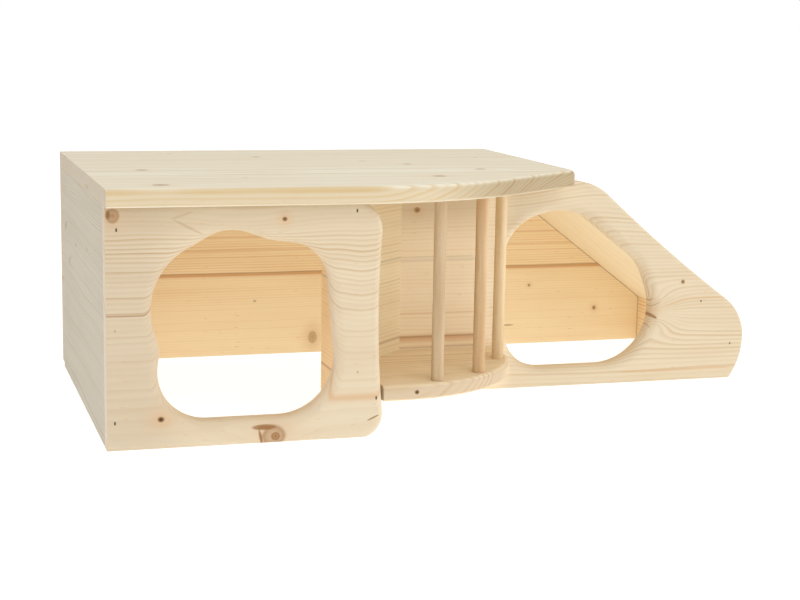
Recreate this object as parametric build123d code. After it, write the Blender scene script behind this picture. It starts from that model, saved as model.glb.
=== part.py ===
"""Wooden rodent hideout with a hay rack, built from boards and dowels.

The maker's frame, used for every size below, has X along the front from the outer face of the
left end wall, Y from the face of the left front panel to the back, and Z up from the ground.
The finished pieces are moved so that the origin lies under the middle of the object.
"""
import os
from math import asin, atan2, cos, degrees, radians, sin, sqrt, tan

from build123d import *

# Boards
board = 14.0
shelf_board = 12.0
height = 200.0
depth = 335.0

# Left front panel; the trim is sawn off the routed blank at its top and bottom
panel_length = 217.8
panel_foot_flare = 2.0
panel_waist = 4.2
panel_waist_height = 92.0
panel_lower_corner = 20.0
panel_upper_corner = 24.0
panel_trim = 2.0
panel_roundover = 6.0

# Entrances: the wood left beside and above them, and the height of the sill
entrance_roundover = 8.0
entrance_back_chamfer = 1.2
left_entrance_left_jamb = 35.5
left_entrance_right_jamb = 38.3
left_entrance_head = 20.5
left_entrance_sill = 19.5
right_entrance_left_jamb = 8.5
right_entrance_right_jamb = 94.0
right_entrance_head = 26.0
right_entrance_sill = 17.2

# Corners of each entrance, anticlockwise from the lower right: shares of its width and of its
# height at that place, and the radius as a share of the smaller of the two
left_entrance_corner_shares = [
    (1.03, 0.0, 0.31),
    (0.94, 0.91, 0.23),
    (0.63, 0.95, 0.31),
    (0.4, 1.03, 0.26),
    (-0.07, 0.77, 0.37),
    (0.04, 0.38, 0.14),
    (-0.01, 0.0, 0.27),
]
right_entrance_corner_shares = [
    (1.15, 0.0, 0.69),
    (0.92, 0.9, 0.41),
    (0.45, 1.04, 0.39),
    (-0.01, 0.9, 0.3),
    (0.02, 0.0, 0.25),
]

# Hay rack, placed from the free edge of the left front panel
cheek_inset = 28.3
niche_reach = 69.5
shelf_top = 39.5
shelf_front = 2.5
shelf_slot = 0.5
shelf_lip = 16.7
shelf_heel = 12.5
shelf_top_roundover = 4.0
shelf_under_chamfer = 1.5

# Hay bars
bar_diameter = 10.0
bar_inset = 10.0
bar_seat_depth = 8.0
bar_seat_clearance = 0.1
left_bar_angle = 74.0
middle_bar_angle = 50.0
right_bar_angle = 20.0

# Roof board, bent back over the hay rack
roof_overhang = 9.0
roof_past_shelf = 57.5
roof_bend_lead = 19.8
roof_bend_radius = 230.0
roof_bend_angle = 38.0
roof_corner_radius = 26.0
roof_top_roundover = 5.0
roof_under_roundover = 3.0

# Right front panel; the dip makes its slope a little hollow
right_panel_face = 143.0
right_panel_roundover = 3.0
shoulder_ledge = 15.0
shoulder_radius = 50.0
slope_dip_angle = 3.0
nose_reach = 610.0
nose_height = 38.0
nose_upper_radius = 45.0
nose_lower_radius = 66.0

# Low house behind the right front panel
slope_tuck = 16.0
eave_height = 48.0
nose_overhang = 12.0

# Back wall
back_wall_foot_gap = 3.5

# Derived sizes of the large house
wall_height = height - board
back_wall_face = depth - board
left_entrance_end = panel_length - left_entrance_right_jamb

# Derived sizes of the hay rack
bevel_length = board * sqrt(2)
cheek_start = panel_length - cheek_inset
cheek_face = cheek_start + board
niche_corner = cheek_face + niche_reach
diagonal_start = right_panel_face - niche_reach
cheek_back = diagonal_start + bevel_length
shelf_bend_start = panel_length + shelf_lip
shelf_round = right_panel_face - shelf_heel - shelf_front
shelf_end = shelf_bend_start + shelf_round
bar_angles = {"left": left_bar_angle, "middle": middle_bar_angle, "right": right_bar_angle}

# Derived sizes of the roof and the low house
roof_bend_start = panel_length - roof_bend_lead
roof_length = shelf_end + roof_past_shelf
right_panel_back = right_panel_face + board
right_panel_start = niche_corner - bevel_length
right_entrance_start = shelf_end + right_entrance_left_jamb
right_entrance_end = nose_reach - right_entrance_right_jamb
end_wall_outer_face = nose_reach - nose_overhang
end_wall_inner_face = end_wall_outer_face - board
slope_start = roof_length - slope_tuck
slope_rise = (wall_height - eave_height) / (end_wall_inner_face - slope_start)
slope_board_height = board * sqrt(1 + slope_rise**2)

# Slope of the right front panel: the line that touches its shoulder and its nose
shoulder_start = roof_length + shoulder_ledge
shoulder_run = nose_reach - nose_upper_radius - shoulder_start
shoulder_drop = wall_height - shoulder_radius - nose_height
shoulder_to_nose = sqrt(shoulder_run**2 + shoulder_drop**2)
panel_slope = degrees(
    atan2(shoulder_drop, shoulder_run)
    + asin((shoulder_radius - nose_upper_radius) / shoulder_to_nose)
)

centre = Location((-nose_reach / 2, -(depth - roof_overhang) / 2, 0))


def slope_underside(x):
    """Height of the slope board's underside at x."""
    return eave_height + (end_wall_inner_face - x) * slope_rise


def slope_reach(z):
    """X at which the slope board's underside reaches the height z."""
    return end_wall_inner_face - (z - eave_height) / slope_rise


def left_panel_top(x):
    """Height of the left front panel, the same at every x."""
    return wall_height


def right_panel_top(x):
    """Height of the right front panel at x: level, then down the line of its slope."""
    touch = shoulder_start + shoulder_radius * sin(radians(panel_slope))
    shoulder_height = wall_height - shoulder_radius * (1 - cos(radians(panel_slope)))
    return min(wall_height, shoulder_height - (x - touch) * tan(radians(panel_slope)))


def upright(outline, front, back):
    """Board with its outline drawn in X and Z, between a front and a back face."""
    plane = Plane(origin=(0, front, 0), x_dir=(1, 0, 0), z_dir=(0, -1, 0))
    return extrude(plane * make_face(outline), amount=front - back)


def lying(outline, bottom, top):
    """Board with its outline drawn in X and Y, between two heights."""
    return extrude(Pos(0, 0, bottom) * make_face(outline), amount=top - bottom)


def block(low, high):
    """Square board between two corners."""
    size = [b - a for a, b in zip(low, high)]
    return Pos(*low) * Box(*size, align=Align.MIN)


def cut_entrance(panel, corners, start, end, sill, head, panel_top):
    """Panel with a hand-cut entrance: a wide roundover in front and a small chamfer at the back."""
    box = panel.bounding_box()
    width = end - start
    points = []
    radii = []
    for across, up, rounding in corners:
        x = start + across * width
        rise = panel_top(x) - head - sill
        points.append((x, sill + up * rise))
        radii.append(rounding * min(width, rise))
    panel -= upright(FilletPolyline(*points, radius=radii, close=True), box.min.Y, box.max.Y)
    front, *_, back = panel.faces().filter_by(Axis.Y).sort_by(Axis.Y)
    panel = chamfer(back.inner_wires()[0].edges(), entrance_back_chamfer)
    return fillet(front.inner_wires()[0].edges(), entrance_roundover)


def left_end_wall():
    """Square side of the large house, between the front panel and the back wall."""
    return block((0, board, 0), (board, back_wall_face, wall_height))


def left_front_panel():
    """Front of the large house: wavy free edge at the right, rounded corners and an entrance."""
    low = -panel_trim
    high = wall_height + panel_trim
    foot = (panel_length + panel_foot_flare, low)
    waist = (panel_length - panel_waist, panel_waist_height)
    head = (panel_length, high)
    outline = ThreePointArc(foot, waist, head) + Polyline(head, (0, high), (0, low), foot)
    panel = upright(outline, 0, board)
    for side, radius in ((0, panel_lower_corner), (-1, panel_upper_corner)):
        corners = panel.edges().filter_by(Axis.Y).group_by(Axis.Z)[side]
        panel = fillet(corners.sort_by(Axis.X)[-1], radius)
    front_edges = panel.faces().sort_by(Axis.Y)[0].edges()
    panel = fillet(front_edges.sort_by(Axis.X)[1:], panel_roundover)
    panel &= block((0, 0, 0), (panel_length, board, wall_height))
    return cut_entrance(
        panel,
        left_entrance_corner_shares,
        left_entrance_left_jamb,
        left_entrance_end,
        left_entrance_sill,
        left_entrance_head,
        left_panel_top,
    )


def right_front_panel():
    """Front of the low house: level under the roof, then a shoulder, a slope and a rounded nose."""
    nose = (nose_reach, nose_height)
    nose_middle = Vector(nose_reach - nose_lower_radius, nose_height)
    toe = (nose_middle.X + sqrt(nose_lower_radius**2 - nose_height**2), 0)
    halfway = ((Vector(*nose) + Vector(*toe)) / 2 - nose_middle).normalized()
    shoulder_turn = panel_slope + slope_dip_angle
    nose_turn = 90 - panel_slope + slope_dip_angle
    shoulder = JernArc((shoulder_start, wall_height), (1, 0), shoulder_radius, -shoulder_turn)
    nose_upper = JernArc(nose, (0, 1), nose_upper_radius, nose_turn)
    nose_lower = ThreePointArc(toe, nose_middle + halfway * nose_lower_radius, nose)
    slope = TangentArc(shoulder @ 1, nose_upper @ 1, tangent=shoulder % 1)
    outline = shoulder + slope + nose_upper + nose_lower
    outline += Polyline(
        toe,
        (right_panel_start, 0),
        (right_panel_start, wall_height),
        (roof_length, wall_height),
        (shoulder_start, wall_height),
    )
    panel = upright(outline, right_panel_face, right_panel_back)
    front_edges = panel.faces().sort_by(Axis.Y)[0].edges()
    past_roof = [e for e in front_edges.sort_by(Axis.Z)[1:] if e.center().X > roof_length]
    panel = fillet(past_roof, right_panel_roundover)
    return cut_entrance(
        panel,
        right_entrance_corner_shares,
        right_entrance_start,
        right_entrance_end,
        right_entrance_sill,
        right_entrance_head,
        right_panel_top,
    )


def back_wall():
    """One board along the back, cut level with the top of the slope board at the right."""
    eave = slope_underside(end_wall_outer_face) + slope_board_height
    ridge = slope_reach(wall_height - slope_board_height)
    outline = Polyline(
        (0, back_wall_foot_gap),
        (end_wall_outer_face, back_wall_foot_gap),
        (end_wall_outer_face, eave),
        (ridge, wall_height),
        (0, wall_height),
        close=True,
    )
    return upright(outline, back_wall_face, depth)


def slope_board():
    """Sloping roof of the low house, cut level under the flat roof and upright at the end wall."""
    eave = slope_underside(end_wall_outer_face)
    section = Polyline(
        (end_wall_outer_face, eave),
        (end_wall_outer_face, eave + slope_board_height),
        (slope_reach(wall_height - slope_board_height), wall_height),
        (slope_reach(wall_height), wall_height),
        close=True,
    )
    return upright(section, right_panel_back, back_wall_face)


def right_end_wall():
    """Short wall under the slope board, with its top edge planed to the slope."""
    section = Polyline(
        (end_wall_inner_face, 0),
        (end_wall_outer_face, 0),
        (end_wall_outer_face, slope_underside(end_wall_outer_face)),
        (end_wall_inner_face, eave_height),
        close=True,
    )
    return upright(section, right_panel_back, back_wall_face)


def bar_centre(angle):
    """Plan position of a hay bar on the arc inside the shelf's round edge."""
    reach = shelf_round - bar_inset
    x = shelf_bend_start + reach * cos(radians(angle))
    y = shelf_front + shelf_round - reach * sin(radians(angle))
    return x, y


def rod(angle, radius, bottom, top):
    """Upright rod at a hay bar's place."""
    align = (Align.CENTER, Align.CENTER, Align.MIN)
    return Pos(*bar_centre(angle), bottom) * Cylinder(radius, top - bottom, align=align)


def hay_bar(angle):
    """Dowel whose ends sit in the shelf and in the roof."""
    return rod(angle, bar_diameter / 2, shelf_top - bar_seat_depth, wall_height + bar_seat_depth)


def bar_seats(bottom, top):
    """Tools that bore the blind seats of the hay bars between two heights."""
    radius = bar_diameter / 2 + bar_seat_clearance
    return [rod(angle, radius, bottom, top) for angle in bar_angles.values()]


def roof_board():
    """Flat roof whose front edge bends back over the hay rack to a rounded corner."""
    bend = JernArc((roof_bend_start, -roof_overhang), (1, 0), roof_bend_radius, roof_bend_angle)
    run = (roof_length - (bend @ 1).X) * tan(radians(roof_bend_angle))
    corner = (roof_length, (bend @ 1).Y + run)
    outline = Line((0, -roof_overhang), bend @ 0) + bend
    outline += Polyline(bend @ 1, corner, (roof_length, depth), (0, depth), (0, -roof_overhang))
    roof = lying(outline, wall_height, height)
    upright_edges = roof.edges().filter_by(Axis.Z)
    roof = fillet(upright_edges.sort_by_distance((*corner, height))[0], roof_corner_radius)
    for side, radius in ((-1, roof_top_roundover), (0, roof_under_roundover)):
        edges = roof.faces().filter_by(Axis.Z).sort_by(Axis.Z)[side].edges()
        free_edges = edges - edges.sort_by(Axis.X)[:1] - edges.sort_by(Axis.Y)[-1:]
        roof = fillet(free_edges, radius)
    return roof - bar_seats(wall_height, wall_height + bar_seat_depth)


def hay_rack_floor():
    """Quarter-round shelf, notched round the free edge of the left front panel."""
    notch = panel_length + shelf_slot
    bend = JernArc((shelf_bend_start, shelf_front), (1, 0), shelf_round, 90)
    outline = Polyline((cheek_face, board), (notch, board), (notch, shelf_front), bend @ 0) + bend
    outline += Polyline(
        bend @ 1,
        (shelf_end, right_panel_face),
        (niche_corner, right_panel_face),
        (cheek_face, diagonal_start),
        (cheek_face, board),
    )
    shelf = lying(outline, shelf_top - shelf_board, shelf_top)
    for side, ease, size in ((-1, fillet, shelf_top_roundover), (0, chamfer, shelf_under_chamfer)):
        edges = shelf.faces().filter_by(Axis.Z).sort_by(Axis.Z)[side].edges()
        free_edges = edges.sort_by(Axis.Y)[:1] + edges.sort_by(Axis.X)[-1:]
        shelf = ease(free_edges + edges.filter_by(GeomType.CIRCLE), size)
    return shelf - bar_seats(shelf_top - bar_seat_depth, shelf_top)


def hay_rack_cheek():
    """Upright board behind the free edge of the left front panel."""
    return block((cheek_start, board, 0), (cheek_face, cheek_back, wall_height))


def hay_rack_diagonal_wall():
    """Wall at 45 degrees with both ends cut to lie flat on the cheek and the right front panel."""
    plan = Polyline(
        (cheek_face, diagonal_start),
        (niche_corner, right_panel_face),
        (right_panel_start, right_panel_face),
        (cheek_face, cheek_back),
        close=True,
    )
    return lying(plan, 0, wall_height)


pieces = {
    "left_end_wall": left_end_wall(),
    "left_front_panel": left_front_panel(),
    "right_front_panel": right_front_panel(),
    "back_wall": back_wall(),
    "roof_board": roof_board(),
    "slope_board": slope_board(),
    "right_end_wall": right_end_wall(),
    "hay_rack_floor": hay_rack_floor(),
    "hay_rack_cheek": hay_rack_cheek(),
    "hay_rack_diagonal_wall": hay_rack_diagonal_wall(),
}
pieces |= {f"hay_bar_{name}": hay_bar(angle) for name, angle in bar_angles.items()}

os.makedirs("parts", exist_ok=True)
for name, piece in pieces.items():
    export_step(centre * piece, f"parts/{name}.step")
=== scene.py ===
"""Looks of the wooden rodent hideout: raw spruce boards, beech hay bars and steel brads.

Lengths inside the finishes are millimetres in the maker's frame, which has X along the front from
the left end wall, Y from the left front panel to the back and Z up. Everything in Blender is in
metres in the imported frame, whose origin lies under the middle of the object.
"""
import logging
import math
from dataclasses import dataclass
from enum import Enum
from typing import ClassVar

import bmesh
import bpy
from mathutils import Matrix, Vector


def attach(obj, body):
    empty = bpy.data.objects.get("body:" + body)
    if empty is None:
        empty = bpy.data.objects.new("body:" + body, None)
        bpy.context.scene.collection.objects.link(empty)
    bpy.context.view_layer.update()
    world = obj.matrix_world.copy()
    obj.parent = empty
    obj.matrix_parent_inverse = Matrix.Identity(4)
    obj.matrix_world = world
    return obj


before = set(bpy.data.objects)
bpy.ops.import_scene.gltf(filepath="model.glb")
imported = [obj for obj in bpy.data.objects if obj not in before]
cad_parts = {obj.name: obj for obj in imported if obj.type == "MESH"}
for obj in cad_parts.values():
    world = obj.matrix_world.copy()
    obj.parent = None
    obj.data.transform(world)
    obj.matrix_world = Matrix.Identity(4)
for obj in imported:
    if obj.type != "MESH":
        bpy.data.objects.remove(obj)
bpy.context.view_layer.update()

LOG = logging.getLogger("hideout")
Point = tuple[float, float, float]
Colour = tuple[float, float, float]

MM = 0.001
BODY = "root"
MAKER_CORNER = Vector((-0.305, -0.163, 0.0))
IMAGE_WIDTH = 800
WHITE = (1.0, 1.0, 1.0)


def placed(point: Point) -> Vector:
    """A point in the maker's frame, in mm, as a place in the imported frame, in metres."""
    return MAKER_CORNER + Vector(point) * MM


def linear(red: int, green: int, blue: int) -> Colour:
    """A screen colour, 0 to 255 a channel, as the linear colour a shader takes, by the sRGB curve."""
    shares = (channel / 255 for channel in (red, green, blue))
    return tuple(s / 12.92 if s <= 0.04045 else ((s + 0.055) / 1.055) ** 2.4 for s in shares)


def added(name: str, data: bpy.types.ID) -> bpy.types.Object:
    """New object of the scene that holds a mesh, a light or a camera.

    Args:
        name: Its name.
        data: What it holds.

    Returns:
        The object.
    """
    made = bpy.data.objects.new(name, data)
    bpy.context.scene.collection.objects.link(made)
    return made


def meshed(name: str, mesh: bmesh.types.BMesh) -> bpy.types.Object:
    """New object of the scene with a mesh that is free until then.

    Args:
        name: Its name.
        mesh: The mesh, which can't be used afterwards.

    Returns:
        The object.
    """
    data = bpy.data.meshes.new(name)
    mesh.to_mesh(data)
    mesh.free()
    return added(name, data)


class Axis(Enum):
    """Directions that boards run or face in, in the maker's frame."""

    X = (1.0, 0.0, 0.0)
    Y = (0.0, 1.0, 0.0)
    Z = (0.0, 0.0, 1.0)
    DIAGONAL = (math.sqrt(0.5), math.sqrt(0.5), 0.0)
    DIAGONAL_FACE = (math.sqrt(0.5), -math.sqrt(0.5), 0.0)
    DOWN_SLOPE = (0.795, 0.0, -0.607)
    SLOPE_FACE = (0.607, 0.0, 0.795)


class Slot(Enum):
    """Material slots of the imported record."""

    SPRUCE = "spruce_board"
    BEECH = "beech_dowel"


class Wire:
    """Output of a node, on the sheet that the node belongs to."""

    def __init__(self, sheet: "Sheet", socket: bpy.types.NodeSocket) -> None:
        """Wrap a socket.

        Args:
            sheet: The sheet of nodes.
            socket: The output socket to wrap.
        """
        self.sheet = sheet
        self.socket = socket


class Signal(Wire):
    """Value in a shader, with arithmetic that adds Math nodes."""

    def math(self, operation: str, *others: "Signal | float") -> "Signal":
        """Result of a Math node with this value as its first input."""
        inputs = dict(enumerate((self, *others)))
        return self.sheet.node("ShaderNodeMath", {"operation": operation}, inputs)

    def __add__(self, other: "Signal | float") -> "Signal":
        """Sum."""
        return self.math("ADD", other)

    def __sub__(self, other: "Signal | float") -> "Signal":
        """Difference."""
        return self.math("SUBTRACT", other)

    def __rsub__(self, other: float) -> "Signal":
        """A number less this value."""
        return (self * -1.0).math("ADD", other)

    def __mul__(self, other: "Signal | float") -> "Signal":
        """Product."""
        return self.math("MULTIPLY", other)

    def __truediv__(self, other: "Signal | float") -> "Signal":
        """Quotient."""
        return self.math("DIVIDE", other)

    def __pow__(self, other: "Signal | float") -> "Signal":
        """Power."""
        return self.math("POWER", other)

    def __abs__(self) -> "Signal":
        """Size without sign."""
        return self.math("ABSOLUTE")

    __radd__ = __add__
    __rmul__ = __mul__

    def fraction(self) -> "Signal":
        """Part after the point."""
        return self.math("FRACT")

    def root(self) -> "Signal":
        """Square root."""
        return self.math("SQRT")

    def bell(self) -> "Signal":
        """Bell curve that is 1 where this value is 0 and falls to a third at 1."""
        return (self * self * -1.0).math("EXPONENT")

    def rise(self, start: float, end: float) -> "Signal":
        """Smooth step.

        Args:
            start: The value at which the step leaves 0.
            end: The value at which it reaches 1.

        Returns:
            The step, from 0 to 1.
        """
        settings = {"interpolation_type": "SMOOTHSTEP"}
        inputs = {"Value": self, "From Min": start, "From Max": end}
        return self.sheet.node("ShaderNodeMapRange", settings, inputs)


class Tint(Wire):
    """Colour in a shader."""

    def toward(self, colour: "Tint | Colour", share: Signal) -> "Tint":
        """Mix with another colour, of which there is a share from 0 to 1."""
        return self.sheet.mix(share, self, colour)

    def shaded(self, value: Signal) -> "Tint":
        """This colour times a value, the same on each channel."""
        grey = self.sheet.node("ShaderNodeCombineColor", {}, {0: value, 1: value, 2: value}, kind=Tint)
        return self.sheet.mix(1.0, self, grey, blend="MULTIPLY")


class Place(Wire):
    """Vector in a shader."""

    def math(self, operation: str, other: "Place | Point") -> "Place":
        """Result of a Vector Math node with this vector as its first input."""
        settings = {"operation": operation}
        return self.sheet.node("ShaderNodeVectorMath", settings, {0: self, 1: other}, kind=Place)

    def less(self, other: Point) -> "Place":
        """This place measured from another."""
        return self.math("SUBTRACT", other)

    def scaled(self, shares: Point) -> "Place":
        """Each part times its own share."""
        return self.math("MULTIPLY", shares)

    def along(self, direction: "Place | Point") -> Signal:
        """Length along a direction."""
        settings = {"operation": "DOT_PRODUCT"}
        return self.sheet.node("ShaderNodeVectorMath", settings, {0: self, 1: direction}, output="Value")


class Sheet:
    """Sheet of nodes that are added by name."""

    def __init__(self, tree: bpy.types.NodeTree) -> None:
        """Empty a node tree and start on it."""
        self.tree = tree
        self.tree.nodes.clear()

    def node(
        self, kind_of_node: str, settings: dict, inputs: dict, output: str | int = 0, kind: type = Signal
    ) -> Signal | Tint | Place:
        """Add a node.

        Args:
            kind_of_node: Blender's name of the node's type.
            settings: The node's own settings, set first.
            inputs: Values or wrapped sockets by the input's name or number.
            output: The output to give back.
            kind: The class that wraps it.

        Returns:
            The wrapped output.
        """
        made = self.tree.nodes.new(kind_of_node)
        for name, value in settings.items():
            setattr(made, name, value)
        for name, value in inputs.items():
            self.feed(made.inputs[name], value)
        return kind(self, made.outputs[output])

    def feed(self, socket: bpy.types.NodeSocket, value: object) -> None:
        """Set or link an input.

        Args:
            socket: The input.
            value: A number, a tuple or a wrapped socket.
        """
        if hasattr(value, "socket"):
            self.tree.links.new(value.socket, socket)
        elif socket.type == "RGBA":
            socket.default_value = (*value, 1.0)
        else:
            socket.default_value = value

    def close(self, kind_of_output: str, shader: Signal) -> None:
        """Link a shader to a new output node, given by its type."""
        end = self.tree.nodes.new(kind_of_output)
        self.tree.links.new(shader.socket, end.inputs["Surface"])

    def mix(
        self, share: Signal | float, first: Tint | Colour, second: Tint | Colour, blend: str = "MIX"
    ) -> Tint:
        """Mix two colours, with a share of the second from 0 to 1."""
        settings = {"data_type": "RGBA", "blend_type": blend}
        return self.node("ShaderNodeMix", settings, {0: share, 6: first, 7: second}, output=2, kind=Tint)


class Shader(Sheet):
    """Node sheet of a material."""

    def __init__(self, name: str) -> None:
        """Make an empty material.

        Args:
            name: The material's name.
        """
        self.material = bpy.data.materials.new(name)
        self.material.use_nodes = True
        super().__init__(self.material.node_tree)

    def maker_place(self) -> Place:
        """Place on the object in the maker's frame, in mm."""
        spot = self.node("ShaderNodeTexCoord", {}, {}, output="Object", kind=Place)
        return spot.less(tuple(MAKER_CORNER)).scaled((1 / MM, 1 / MM, 1 / MM))

    def surface_normal(self) -> Place:
        """Normal of the surface."""
        return self.node("ShaderNodeNewGeometry", {}, {}, output="Normal", kind=Place)

    def combine(self, x: Signal | float, y: Signal | float, z: Signal | float) -> Place:
        """Vector from three values."""
        return self.node("ShaderNodeCombineXYZ", {}, {0: x, 1: y, 2: z}, kind=Place)

    def noise(self, place: Place, detail: float = 2.0, roughness: float = 0.5) -> Signal:
        """Soft noise from 0 to 1, about 1 wide, with a number of finer layers of some strength."""
        inputs = {"Vector": place, "Scale": 1.0, "Detail": detail, "Roughness": roughness}
        return self.node("ShaderNodeTexNoise", {"noise_dimensions": "3D"}, inputs)

    def chance(self, number: Signal) -> Signal:
        """Random value from 0 to 1 for each whole number."""
        return self.node("ShaderNodeTexWhiteNoise", {"noise_dimensions": "1D"}, {"W": number})

    def cells(self, place: Place) -> tuple[Signal, Signal]:
        """Scattered points.

        Args:
            place: Where to read them, about one point for each unit.

        Returns:
            The distance to the nearest point, and that point's random value from 0 to 1.
        """
        inputs = {"Vector": place, "Scale": 1.0, "Randomness": 1.0}
        near = self.node("ShaderNodeTexVoronoi", {"voronoi_dimensions": "3D"}, inputs, output="Distance")
        colour = Tint(self, near.socket.node.outputs["Color"])
        return near, self.node("ShaderNodeSeparateColor", {}, {0: colour})

    def surface(
        self, colour: Tint, roughness: Signal, relief: Signal, depth: float, specular: float
    ) -> None:
        """Close the material with a Principled shader.

        Args:
            colour: The base colour.
            roughness: The roughness.
            relief: The height of the surface, from 0 to 1.
            depth: The height that 1 stands for, in mm.
            specular: The specular level, the same all over.
        """
        heights = {"Height": relief, "Distance": depth * MM, "Strength": 1.0}
        inputs = {
            "Base Color": colour,
            "Roughness": roughness,
            "Normal": self.node("ShaderNodeBump", {}, heights, kind=Place),
            "Specular IOR Level": specular,
        }
        self.close("ShaderNodeOutputMaterial", self.node("ShaderNodeBsdfPrincipled", {}, inputs))


class Mark(Enum):
    """Colours of what grew in the wood besides its rings; GREY and AMBER also paint broad bands of shade
    under the roof.
    """

    RESIN = linear(146, 98, 54)
    AMBER = linear(208, 152, 90)
    GREY = linear(158, 146, 116)
    KNOT = linear(160, 116, 64)
    BARK = linear(74, 48, 32)
    FLUSH = linear(216, 172, 126)


@dataclass(frozen=True)
class Knot:
    """Branch that runs square through a board's wide face.

    Attributes:
        centre: Its middle on the face.
        half_length: Half its size along the grain.
        half_width: Half its size across the grain.
        core: How dark it is, from 0 to 1.
        halo: How pink the wood round it is, from 0 to 1.
        halo_reach: Size of the halo, in sizes of the knot.
        part: How far the rings part round it.
        swell: How far the rings rise round it, which closes them into loops.
        reach: Size of the part of the rings that it moves, in sizes of the knot.
        eye: Size of its dark middle, in sizes of the knot.
        rim: How dark its rim is, from 0 to 1.
        lean: How far it is turned from the grain, in degrees.
        axis: Direction that it runs in, if not square through the wide face.
        ink: Colour of its rim and its dark middle.
    """

    centre: Point
    half_length: float
    half_width: float
    core: float
    halo: float = 0.0
    halo_reach: float = 2.2
    part: float = 0.0
    swell: float = 0.0
    reach: float = 3.0
    eye: float = 0.55
    rim: float = 0.45
    lean: float = 0.0
    axis: Axis | None = None
    ink: Mark = Mark.BARK


def crack(centre: Point, half_length: float, half_width: float, core: float, lean: float) -> Knot:
    """Thin brown line over the grain: a knot with neither a rim nor a dark middle."""
    return Knot(centre, half_length, half_width, core, eye=0.0, rim=0.0, lean=lean)


@dataclass(frozen=True)
class Streak:
    """Line that stands out along one ring; a broad, faint one paints shade along the ring instead.

    Attributes:
        point: A point that the ring goes through.
        first: Where it starts, along the grain.
        last: Where it ends, along the grain.
        width: Half its width.
        depth: How strong it is, from 0 to 1.
        mark: Its colour.
        soft: Length over which each end fades.
    """

    point: Point
    first: float
    last: float
    width: float
    depth: float
    mark: Mark = Mark.RESIN
    soft: float = 12.0


@dataclass(frozen=True)
class Seam:
    """Dark line where another board's face meets this one.

    Attributes:
        normal: Normal of the other board's face.
        offset: Where that face lies along its normal.
        width: Half the line's width.
        depth: How dark it is, from 0 to 1.
    """

    normal: Axis
    offset: float
    width: float = 0.45
    depth: float = 0.5


@dataclass(frozen=True)
class PaintedLightZone:
    """Part of a board whose colour paints the light or the shade that falls there, told apart by its
    place along one direction.

    Attributes:
        pale: The early wood's colour there.
        late: The late wood's colour there.
        start: Place up to which the layer is full.
        end: Place at which it has gone.
        seams: The lines where other boards meet it.
        axis: The direction, if not the board's face normal.
    """

    pale: Colour
    late: Colour
    start: float
    end: float
    seams: tuple[Seam, ...] = ()
    axis: Axis | None = None


class Pattern(Enum):
    """Sizes of the patterns in spruce, along and across its grain, in mm."""

    SLOW = (230.0, 42.0)
    QUICK = (55.0, 7.0)
    FIBRE = (24.0, 0.45)
    BLOTCH = (130.0, 18.0)
    DUCT = (15.0, 2.4)


class Step(Enum):
    """Values between which a trait of the wood sets in, the last three for beech."""

    LATE_STARTS = (0.3, 0.88)
    LATE_ENDS = (0.92, 1.0)
    BLOTCH = (0.35, 0.75)
    DUCT_EDGE = (0.05, 0.2)
    DUCT_CHANCE = (0.6, 0.9)
    KNOT_EDGE = (0.75, 1.15)
    END_CUT = (0.78, 0.98)
    SLANT_CUT = (0.2, 0.6)
    WIDE_FACE = (0.3, 0.9)
    DASH_EDGE = (0.12, 0.34)
    DASH_CHANCE = (0.25, 0.8)
    BAND = (0.3, 0.7)

    def of(self, signal: Signal) -> Signal:
        """How far the trait has set in at a value, from 0 to 1."""
        return signal.rise(*self.value)


@dataclass(frozen=True)
class Spruce:
    """Planed and sanded raw spruce: rings round the tree's middle line, cut by the board.

    Attributes:
        slot: Its slot in the record.
        name: The finish's name.
        grain: Direction of the tree.
        face: Normal of the board's wide face.
        heart: A point on the tree's middle line.
        ring: Width of a ring.
        pale: The early wood's colour.
        late: The late wood's colour.
        contrast: How clear the rings are, from 0 to 1.
        wander: How far the rings stray.
        clear: Heights between which the rings fade in, the lower one first.
        fade: Heights between which they fade out again.
        least: How clear the rings are where they have faded.
        knots: Its knots.
        streaks: Its lines.
        layer: Light or shade painted over part of it, if it has any.
        edge: The early wood's colour on its long edges, if it differs.
        end: The early wood's colour on its sawn ends, if it differs.
        slant: The early wood's colour on edges that run slanting over the grain, if it differs.
        seed: A number that sets its chance apart.
    """

    slot: ClassVar[Slot] = Slot.SPRUCE
    name: str
    grain: Axis
    face: Axis
    heart: Point
    ring: float
    pale: Colour
    late: Colour
    contrast: float = 0.6
    wander: float = 5.0
    clear: tuple[float, float] = (-2.0, -1.0)
    fade: tuple[float, float] = (900.0, 901.0)
    least: float = 1.0
    knots: tuple[Knot, ...] = ()
    streaks: tuple[Streak, ...] = ()
    layer: PaintedLightZone | None = None
    edge: Colour | None = None
    end: Colour | None = None
    slant: Colour | None = None
    seed: float = 0.0

    def across(self) -> Vector:
        """Direction over the board's wide face, square to its grain."""
        return Vector(self.grain.value).cross(Vector(self.face.value))

    def level(self, point: Point) -> float:
        """Distance of a point from the tree's middle line."""
        offset = Vector(point) - Vector(self.heart)
        grain = Vector(self.grain.value)
        return (offset - grain * offset.dot(grain)).length

    def material(self) -> bpy.types.Material:
        """The finish as a material."""
        return SpruceShader(self).compose()


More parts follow.
